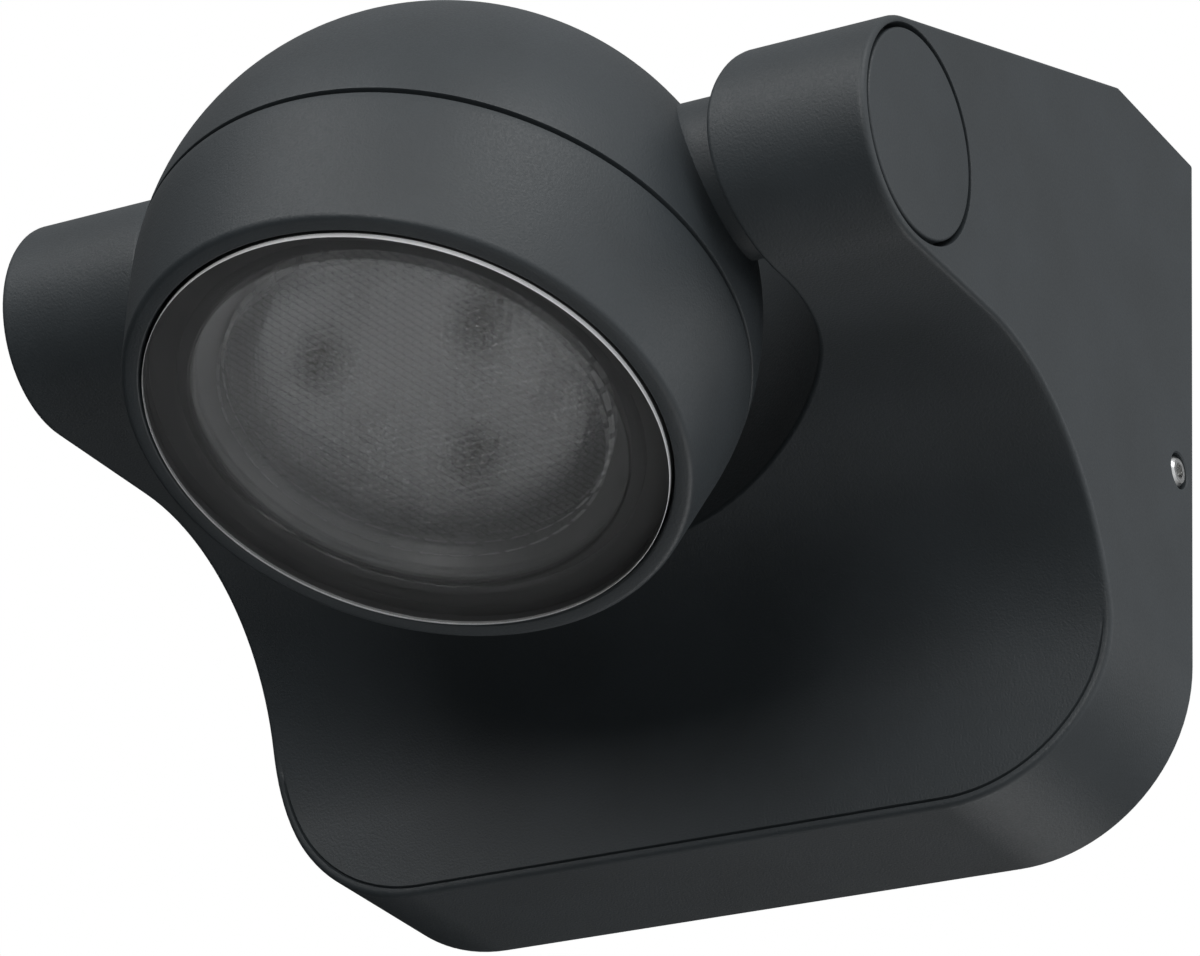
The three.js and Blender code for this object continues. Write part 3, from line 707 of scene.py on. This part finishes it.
def settle_head(piece, slot, node):
    """Tilts the piece with the head and puts it in its CAD node's place."""
    piece.data.transform(HEAD)
    return settle(piece, "head", slot, node)


def levels(corners, steps=4):
    """A profile through (radius, level, rounding) corners."""
    return [(a, level(b)) for a, b in ((p.x, p.y) for p in rounded_path(corners, steps))]


def rear_shell():
    """The rear of the ball, hollow, with a bored collar on each side."""
    inner = BALL - SHELL
    profile = [(0, level(-BALL))] + ball_arc(BALL, -BALL + 0.02 * MM, SEAM_REAR - SEAM_LIP)
    profile += [(BALL - 0.1 * MM, level(SEAM_REAR - 0.1 * MM)), (BALL - SEAM_LIP, level(SEAM_REAR))]
    profile += [(SEAM, level(SEAM_REAR)), (SEAM, level(1 * MM))]
    profile += ball_arc(inner, 1 * MM, -inner + 0.02 * MM) + [(0, level(-inner))]
    body = turned("ball_rear", profile, "powder_coat")
    start = 36 * MM
    bevel = 0.6 * MM
    for side in (-1, 1):
        outline = [(0, start), (COLLAR, start), (COLLAR, COLLAR_END - bevel)]
        outline += [(COLLAR - bevel, COLLAR_END), (0, COLLAR_END)]
        combine(body, [lathe_mesh([(r, side * x) for r, x in outline], 96, "X")], "UNION")
        bore = [(0, 30 * MM), (COLLAR_BORE, 30 * MM), (COLLAR_BORE, 60 * MM), (0, 60 * MM)]
        combine(body, [lathe_mesh([(r, side * x) for r, x in bore], 48, "X")], "DIFFERENCE")
    reshade(body, radians(25))
    return settle_head(body, "powder_coat", "rear_shell")


def front_ring():
    """The front of the ball: a taper to a flat face, and the mouth that the lens sits in."""
    mouth = LENS + 0.45 * MM
    profile = [(SEAM, level(SEAM_FRONT)), (BALL - SEAM_LIP - 0.1 * MM, level(SEAM_FRONT))]
    profile += [(BALL - 0.18 * MM, level(SEAM_FRONT + 0.1 * MM))]
    profile += ball_arc(BALL, SEAM_FRONT + SEAM_LIP, TAPER_START, radians(1.5))
    leaving = (sqrt(BALL**2 - TAPER_START**2), TAPER_START, 0)
    face = LENS_PLANE - LENS_PROUD
    profile += levels([
        leaving, (RING_FRONT_RADIUS, face, RING_ROUND), (mouth + 0.3 * MM, face, 0.3 * MM),
        (mouth, face - 0.8 * MM, 0), (mouth, CUP_TOP, 0), (RING_SEAT, CUP_TOP, 0), (RING_SEAT, RING_REAR, 0),
    ])[1:]
    profile += ball_arc(BALL - SHELL, RING_REAR, SEAM_FRONT, radians(4))
    return settle_head(turned("ball_front", profile, "powder_coat"), "powder_coat", "front_ring")


def square_ring(inner, outer, rear, front):
    """The profile of a ring with a four-sided section."""
    return levels([(inner, rear, 0), (outer, rear, 0), (outer, front, 0), (inner, front, 0)])


def seam_ring():
    profile = square_ring(45.3 * MM, 46.3 * MM, 1.3 * MM, 2.8 * MM)
    return settle_head(turned("seam_ring", profile, "rubber"), "rubber", "seam_gasket")


def prism_cell(bm, x, z, y, known):
    """One six-sided button of the prismatic plate: a flat top on sloping sides."""
    radius = PRISM_PITCH / sqrt(3)

    def corner(k, r):
        return x + r * sin(k * pi / 3), z + r * cos(k * pi / 3)

    foot = []
    for k in range(6):
        px, pz = corner(k, radius)
        key = (round(px * 1e6), round(pz * 1e6))
        if key not in known:
            known[key] = bm.verts.new((px, y, pz))
        foot.append(known[key])
    flat = [corner(k, radius * PRISM_TOP) for k in range(6)]
    top = [bm.verts.new((px, y + PRISM_DEPTH, pz)) for px, pz in flat]
    bm.faces.new(top)
    for k in range(6):
        n = (k + 1) % 6
        bm.faces.new((foot[k], foot[n], top[n], top[k]))


def ring_at(bm, radius, distance, segments=240):
    """A circle of vertices round the lamp axis."""
    steps = [2 * pi * k / segments for k in range(segments)]
    return [bm.verts.new((radius * cos(t), level(distance), radius * sin(t))) for t in steps]


def band(bm, one, two):
    """The faces between two circles of as many vertices."""
    count = len(one)
    return [bm.faces.new((one[k], one[(k + 1) % count], two[(k + 1) % count], two[k])) for k in range(count)]


def loop_edges(bm, ring):
    return [bm.edges.new((ring[k], ring[(k + 1) % len(ring)])) for k in range(len(ring))]


def prism_plate():
    """A clear disc inside the cup, with a field of six-sided buttons on its rear face."""
    bm = bmesh.new()
    known = {}
    segments = 160
    back = PLATE_REAR + PRISM_DEPTH + 0.02 * MM
    row_height = PRISM_PITCH * sqrt(3) / 2
    rows = ceil(PLATE / row_height) + 1
    for row in range(-rows, rows + 1):
        shift = PRISM_PITCH / 2 if row % 2 else 0.0
        for column in range(-rows, rows + 1):
            x = column * PRISM_PITCH + shift
            z = row * row_height
            if hypot(x, z) < PLATE - PRISM_PITCH * 0.75:
                prism_cell(bm, x, z, level(back), known)
    edge = [e for e in bm.edges if len(e.link_faces) == 1]
    rim = ring_at(bm, PLATE, back, segments)
    bmesh.ops.triangle_fill(bm, use_beauty=True, edges=edge + loop_edges(bm, rim))
    front = ring_at(bm, PLATE, PLATE_FRONT - PLATE_CHAMFER, segments)
    top = ring_at(bm, PLATE - PLATE_CHAMFER, PLATE_FRONT, segments)
    for strip in (band(bm, rim, front), band(bm, front, top)):
        for k, face in enumerate(strip):
            face.material_index = 1 if k % 4 < 3 else 0
    bm.faces.new(top)
    piece = finish_mesh("prism_sheet", bm, "lens", radians(6))
    piece.data.materials[0] = PRISM_PLASTIC
    piece.data.materials.append(PLATE_EDGE)
    return settle_head(piece, "lens", "prism_plate")


def lens():
    """A clear flat disc with a black printed border on its back and a frosted edge."""
    bm = bmesh.new()
    rings = [ring_at(bm, PAINT_START, LENS_REAR), ring_at(bm, LENS, LENS_REAR)]
    foot = LENS_PLANE - LENS_PROUD - 0.3 * MM
    rings += [ring_at(bm, LENS, foot), ring_at(bm, LENS, LENS_PLANE - LENS_CHAMFER)]
    rings.append(ring_at(bm, LENS - LENS_CHAMFER, LENS_PLANE))
    bm.faces.new(rings[0])
    paint = band(bm, rings[0], rings[1]) + band(bm, rings[1], rings[2])
    edge = band(bm, rings[2], rings[3]) + band(bm, rings[3], rings[4])
    bm.faces.new(rings[4])
    for face in paint:
        face.material_index = 1
    for face in edge:
        face.material_index = 2
    piece = finish_mesh("lens_disc", bm, "lens", radians(6))
    piece.data.materials.append(MATERIALS["border_mask"])
    piece.data.materials.append(LENS_EDGE)
    return settle_head(piece, "lens", "lens")


def lens_border():
    """The near-black ring behind the rim of the lens, and the soft gasket under it."""
    outer, rear, front = 37.1 * MM, 20.8 * MM, 21.7 * MM
    mask = levels([
        (WINDOW, rear, 0), (outer, rear, 0), (outer, front, 0), (WINDOW + 0.4 * MM, front, 0),
        (WINDOW, 21.4 * MM, 0),
    ])
    settle_head(turned("border_ring", mask, "border_mask"), "border_mask", "border_mask")
    seal = square_ring(37.4 * MM, LENS, 20.7 * MM, 21.8 * MM)
    settle_head(turned("lens_seal", seal, "rubber"), "rubber", "lens_gasket")


def reflector_cup():
    """The cup behind the window: a bright floor with a hole for each LED, and a wall in a darker copy of the same
    finish, which is painted shade.
    """
    wall = CUP_WALL_THICKNESS
    under = CUP_FLOOR - wall
    flange_rear = CUP_TOP - 1 * MM
    profile = levels([
        (0, CUP_FLOOR, 0), (CUP_FLOOR_RADIUS, CUP_FLOOR, 0.8 * MM), (WINDOW - 0.3 * MM, CUP_TOP, 0.3 * MM),
        (CUP_FLANGE, CUP_TOP, 0), (CUP_FLANGE, flange_rear, 0), (WINDOW + wall, flange_rear, 0.5 * MM),
        (CUP_FLOOR_RADIUS + wall, under, 0.8 * MM), (0, under, 0),
    ])
    body = turned("reflector_bowl", profile, "reflector", 144)
    cutters = []
    for angle in LED_ANGLES:
        x, z = on_ring(LED_RING, angle)
        wide = LED_HOLE + 0.5 * MM
        outline = [
            (0, 4 * MM), (LED_HOLE, 4 * MM), (LED_HOLE, CUP_FLOOR - 0.4 * MM),
            (wide, CUP_FLOOR + 0.1 * MM), (wide, 12 * MM), (0, 12 * MM),
        ]
        hole = lathe_mesh([(r, level(h)) for r, h in outline], 56, "Y")
        bmesh.ops.translate(hole, verts=hole.verts, vec=(x, 0, z))
        cutters.append(hole)
    combine(body, cutters, "DIFFERENCE")
    reshade(body, radians(28))
    # The wall faces take the darker copy of the reflector finish: painted shade.
    body.data.materials.append(SHADED_CUP_WALL)
    for face in body.data.polygons:
        if -face.center.y - OFFSET > CUP_FLOOR + 0.15 * MM:
            face.material_index = 1
    return settle_head(body, "reflector", "reflector_cup")


def led(index, angle):
    """A square package with a clear dome over its yellow phosphor."""
    x, z = on_ring(LED_RING, angle)
    h = LED_HALF
    square = [(x - h, z - h), (x + h, z - h), (x + h, z + h), (x - h, z + h)]
    base = prism_mesh(square, level(7.9 * MM), level(6.9 * MM))
    round_edges(base, 0.15 * MM, 2)
    piece = finish_mesh(f"led_chip_{index}", base, "led")
    foot = 7.5 * MM
    dome = [(0, level(foot)), (LED_DOME, level(foot))]
    for t in spread(0, pi / 2, radians(9)):
        dome.append((LED_DOME * cos(t), level(foot + 0.1 * MM + LED_DOME * sin(t))))
    cap = lathe_mesh(dome, 48, "Y")
    bmesh.ops.translate(cap, verts=cap.verts, vec=(x, 0, z))
    combine(piece, [cap], "UNION")
    reshade(piece)
    return settle_head(piece, "led", f"led_{index}")


# ---------------------------------------------------------------- bracket's small pieces
def end_cap(name, side):
    """A flush round cap with a small edge rounding and its skirt behind."""
    face = HALF_WIDTH - 0.05 * MM
    rear, skirt_end, inside = 73.5 * MM, 72.6 * MM, 74.4 * MM
    skirt_outer, skirt_inner = 14.1 * MM, 12.4 * MM
    corners = [
        (0, face, 0), (CAP, face, 0.45 * MM), (CAP, rear, 0), (skirt_outer, rear, 0),
        (skirt_outer, skirt_end, 0), (skirt_inner, skirt_end, 0), (skirt_inner, inside, 0), (0, inside, 0),
    ]
    profile = [(p.x, side * p.y) for p in rounded_path(corners)]
    bm = lathe_mesh(profile, 128, "X")
    bmesh.ops.translate(bm, verts=bm.verts, vec=(0, PIVOT.y, PIVOT.z))
    return settle(finish_mesh(f"cap_{name}", bm, "end_cap"), "bracket", "end_cap", f"end_cap_{name}")


def side_screw(name, side):
    """A button-head screw with a six-sided socket."""
    half = HALF_WIDTH / MM
    corners = [
        (0, half - 0.02, 0), (2.0, half - 0.02, 0), (2.65, half - 0.75, 0.5), (2.65, half - 1.4, 0),
        (1.5, half - 1.4, 0), (1.5, half - 8.6, 0), (1.1, half - 9, 0), (0, half - 9, 0),
    ]
    profile = [(p.x * MM, side * p.y * MM) for p in rounded_path(corners)]
    piece = finish_mesh(f"screw_{name}", lathe_mesh(profile, 48, "X"), "stainless")
    socket = [(0, half - 1), (1.35, half - 1), (1.35, half + 1), (0, half + 1)]
    combine(piece, [turned_cutter(socket, side, (0, 0, 0), 6)], "DIFFERENCE")
    reshade(piece)
    piece.data.transform(Matrix.Translation((0, SCREW_Y, SCREW_Z)))
    return settle(piece, "bracket", "stainless", f"side_screw_{name}")


def plate_shape(inset, low, high, steps=14):
    return prism_mesh(front_outline(inset, steps), low, high)


def keyhole(side):
    """Cutters for a round hole that narrows upward into a slot."""
    x, z = side * 52 * MM, -6 * MM
    top = 3.6 * MM
    half = 2.4 * MM
    arc = [(x + half * cos(t), top + half * sin(t)) for t in spread(0, pi, radians(12))]
    narrow = [(x + half, z)] + arc + [(x - half, z)]
    return [prism_mesh(outline, -4 * MM, 2 * MM) for outline in (circle(4.6 * MM, 48, x, z), narrow)]


def wall_plate():
    """The zinc-plated plate on the wall, with its side tabs, keyholes and cable hole."""
    edge = WALL + 0.8 * MM
    thick = 2.5 * MM
    rounding = 0.25 * MM
    body = finish_mesh("plate", round_edges(plate_shape(edge, -thick, 0), rounding, 2), "zinc_plate")
    low, high = SCREW_Z - 7 * MM, SCREW_Z + 7 * MM
    tab = [(-10.5 * MM, low), (-0.5 * MM, low), (-0.5 * MM, high), (-10.5 * MM, high)]
    outer = HALF_WIDTH - edge
    tabs, cutters = [], []
    for side in (-1, 1):
        ends = sorted((side * (outer - thick), side * outer))
        tabs.append(round_edges(prism_mesh(tab, *ends, "YZ"), rounding, 2))
        cutters.append(rod(1.9 * MM, side * 60 * MM, side * 76 * MM, (0, SCREW_Y, SCREW_Z), "X"))
        cutters += keyhole(side)
    cutters.append(prism_mesh(circle(7.3 * MM, 64, 0, CABLE_Z), -4 * MM, 2 * MM))
    cutters.append(prism_mesh(circle(1.9 * MM, 32, 34 * MM, CABLE_Z), -4 * MM, 2 * MM))
    combine(body, tabs, "UNION")
    combine(body, cutters, "DIFFERENCE")
    reshade(body)
    return settle(body, "bracket", "zinc_plate", "wall_plate")


def wall_gasket():
    """The soft rim round the wall plate."""
    body = finish_mesh("rim_gasket", plate_shape(1.8 * MM, -2.7 * MM, 0, 24), "rubber")
    combine(body, [plate_shape(WALL, -4 * MM, 1 * MM, 24)], "DIFFERENCE")
    reshade(body)
    return settle(body, "bracket", "rubber", "wall_gasket")


def cable_grommet():
    """The bush that holds the cable's way in, turned from (radius, Y, rounding) corners in millimetres."""
    corners = [
        (3.2, -5.5, 0), (6, -5.5, 0.6), (9, -3.6, 0.6), (9, -2.8, 0.2), (7, -2.8, 0),
        (7, -0.2, 0.3), (3.2, -0.2, 0.3), (3.2, -5.5, 0),
    ]
    profile = [(p.x * MM, p.y * MM) for p in rounded_path(corners)][:-1]
    bm = lathe_mesh(profile, 64, "Y")
    bmesh.ops.translate(bm, verts=bm.verts, vec=(0, 0, CABLE_Z))
    return settle(finish_mesh("cable_bush", bm, "rubber"), "bracket", "rubber", "cable_grommet")


rear_shell()
front_ring()
seam_ring()
lens()
prism_plate()
lens_border()
reflector_cup()
for index, angle in enumerate(LED_ANGLES, 1):
    led(index, angle)
for name, side in (("left", -1), ("right", 1)):
    end_cap(name, side)
    side_screw(name, side)
wall_plate()
wall_gasket()
cable_grommet()


# ---------------------------------------------------------------- camera, lights and stage
CAMERA_AZIMUTH = radians(33.46)
CAMERA_ELEVATION = radians(-28.06)
CAMERA_ROLL = radians(3.94)
CAMERA_DISTANCE = 16.144 * BALL
CAMERA_LENS = 150.9
AIM_RIGHT = 0.0250  # where the view's middle lies from the tilt axis, as tangents
AIM_DOWN = 0.0474
LIT_POINT = Vector((0, -0.06, 0))  # what every light points at
LIGHT_COLOUR = (0.96, 0.98, 1.0, 1)
FLOOR_RADIUS = 0.6
FLOOR_HEIGHT = -1.1  # far below, so that the object hangs in front of plain white


def make_camera():
    """A long lens below and to the right of the lamp, a little rolled."""
    a, e, r = CAMERA_AZIMUTH, CAMERA_ELEVATION, CAMERA_ROLL
    back = Vector((sin(a) * cos(e), -cos(a) * cos(e), sin(e)))
    right = Vector((cos(a), sin(a), 0))
    up = back.cross(right)
    right, up = right * cos(r) + up * sin(r), up * cos(r) - right * sin(r)
    data = bpy.data.cameras.new("camera")
    data.sensor_width = 36.0
    data.lens = CAMERA_LENS
    camera = bpy.data.objects.new("camera", data)
    bpy.context.scene.collection.objects.link(camera)
    ahead = (-back + right * AIM_RIGHT - up * AIM_DOWN).normalized()
    side = ahead.cross(up).normalized()
    over = side.cross(ahead)
    turn = Matrix((side, over, -ahead)).transposed()
    camera.matrix_world = Matrix.Translation(PIVOT + back * CAMERA_DISTANCE) @ turn.to_4x4()
    bpy.context.scene.camera = camera


def area_light(name, place, size, power):
    data = bpy.data.lights.new(name, "AREA")
    data.size = size
    data.energy = power
    light = bpy.data.objects.new(name, data)
    bpy.context.scene.collection.objects.link(light)
    light.location = place
    light.visible_camera = False
    light.rotation_euler = (LIT_POINT - Vector(place)).to_track_quat("-Z", "Y").to_euler()


def soft_glow(nodes, links, direction, strength):
    """Light from a wide area of the world round one direction, fading to nothing at right angles to it."""
    place = nodes.new("ShaderNodeTexCoord")
    facing = nodes.new("ShaderNodeVectorMath")
    facing.operation = "DOT_PRODUCT"
    facing.inputs[1].default_value = direction
    links.new(place.outputs["Generated"], facing.inputs[0])
    ahead = nodes.new("ShaderNodeMath")
    ahead.operation = "MAXIMUM"
    ahead.inputs[1].default_value = 0.0
    links.new(facing.outputs["Value"], ahead.inputs[0])
    falloff = nodes.new("ShaderNodeMath")
    falloff.operation = "POWER"
    falloff.inputs[1].default_value = 2.0
    links.new(ahead.outputs["Value"], falloff.inputs[0])
    scaled = nodes.new("ShaderNodeMath")
    scaled.operation = "MULTIPLY"
    scaled.inputs[1].default_value = strength
    links.new(falloff.outputs["Value"], scaled.inputs[0])
    glow = nodes.new("ShaderNodeBackground")
    glow.inputs["Color"].default_value = LIGHT_COLOUR
    links.new(scaled.outputs["Value"], glow.inputs["Strength"])
    return glow.outputs["Background"]


def make_world():
    """White behind the object, and soft light from above and from the right."""
    world = bpy.data.worlds.new("studio")
    bpy.context.scene.world = world
    world.use_nodes = True
    nodes, links = world.node_tree.nodes, world.node_tree.links
    seen = nodes["Background"]
    seen.inputs["Color"].default_value = (1, 1, 1, 1)
    seen.inputs["Strength"].default_value = 1.0
    both = nodes.new("ShaderNodeAddShader")
    links.new(soft_glow(nodes, links, (1, 0, 0), 1.2), both.inputs[0])
    links.new(soft_glow(nodes, links, (0, 0, 1), 0.52), both.inputs[1])
    path = nodes.new("ShaderNodeLightPath")
    mix = nodes.new("ShaderNodeMixShader")
    links.new(path.outputs["Is Camera Ray"], mix.inputs["Fac"])
    links.new(both.outputs["Shader"], mix.inputs[1])
    links.new(seen.outputs["Background"], mix.inputs[2])
    links.new(mix.outputs["Shader"], nodes["World Output"].inputs["Surface"])


def make_floor():
    bm = prism_mesh(circle(FLOOR_RADIUS, 96), FLOOR_HEIGHT - 0.02, FLOOR_HEIGHT, "XY")
    floor = finish_mesh("floor", bm, "powder_coat")
    floor.data.materials.clear()
    matt = surface("floor", grey(0.78), grey(0.8), (0.7, 0.8), 60.0, 0.01 * MM, clouds=3.0)
    floor.data.materials.append(matt)


make_camera()
make_world()
make_floor()
area_light("over_right", (1.0, -0.8, 1.0), 0.8, 8)
area_light("over_left", (-0.5, -1.1, 0.9), 0.9, 6)
area_light("front", (0.2, -1.5, 0.3), 0.8, 9)
area_light("right_back", (1.3, 0.9, 0.1), 0.8, 2)
area_light("under_back", (0.0, 0.8, -1.1), 0.8, 5)
bpy.context.scene.view_settings.view_transform = "Standard"

for node, item in frame["nodes"].items():
    slot_name = next(s["material_slot"] for s in frame["record"]["subparts"] if s["node"] == node)
    item.data.materials.clear()
    item.data.materials.append(PAINTED_SCREW if node.startswith("board_screw") else MATERIALS[slot_name])
